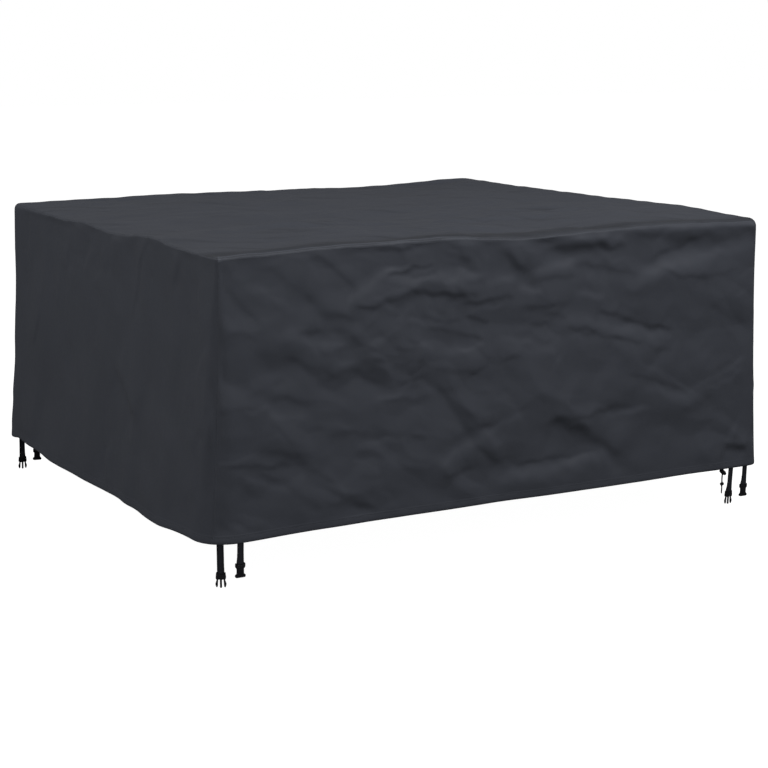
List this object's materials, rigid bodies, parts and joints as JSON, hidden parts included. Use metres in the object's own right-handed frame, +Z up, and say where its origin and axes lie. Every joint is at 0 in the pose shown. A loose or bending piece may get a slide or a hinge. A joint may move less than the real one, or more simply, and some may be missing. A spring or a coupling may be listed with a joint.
{
  "type": "patio furniture cover",
  "caption": "Rectangular fitted cloth cover for outdoor furniture, with seamed walls, a turned hem, webbing straps with side-release buckles, and a drawcord with a cord lock.",
  "frame": {"origin": "the middle of the top panel's underside, where it lies on the furniture", "axes": "+X runs along the long front wall to the right as seen from the front, +Y runs from the front wall to the back wall, +Z is up"},
  "size_m": [1.9918, 1.7155, 0.9555],
  "materials": {
    "cover_cloth": "coated weave with a dull sheen",
    "webbing": "woven, matte",
    "buckle_plastic": "moulded, satin",
    "cord": "braided, matte"
  },
  "bodies": {
    "root": {"top_panel": "cover_cloth", "front_panel": "cover_cloth", "right_panel": "cover_cloth", "back_panel": "cover_cloth", "left_panel": "cover_cloth", "front_left_male_strap": "webbing", "front_left_male_buckle": "buckle_plastic", "front_left_female_strap": "webbing", "front_left_female_buckle": "buckle_plastic", "front_right_male_strap": "webbing", "front_right_male_buckle": "buckle_plastic", "front_right_female_strap": "webbing", "front_right_female_buckle": "buckle_plastic", "back_right_male_strap": "webbing", "back_right_male_buckle": "buckle_plastic", "back_right_female_strap": "webbing", "back_right_female_buckle": "buckle_plastic", "back_left_male_strap": "webbing", "back_left_male_buckle": "buckle_plastic", "back_left_female_strap": "webbing", "back_left_female_buckle": "buckle_plastic", "drawcord": "cord", "cord_lock": "buckle_plastic", "cord_knot": "cord"}
  },
  "joints": []
}
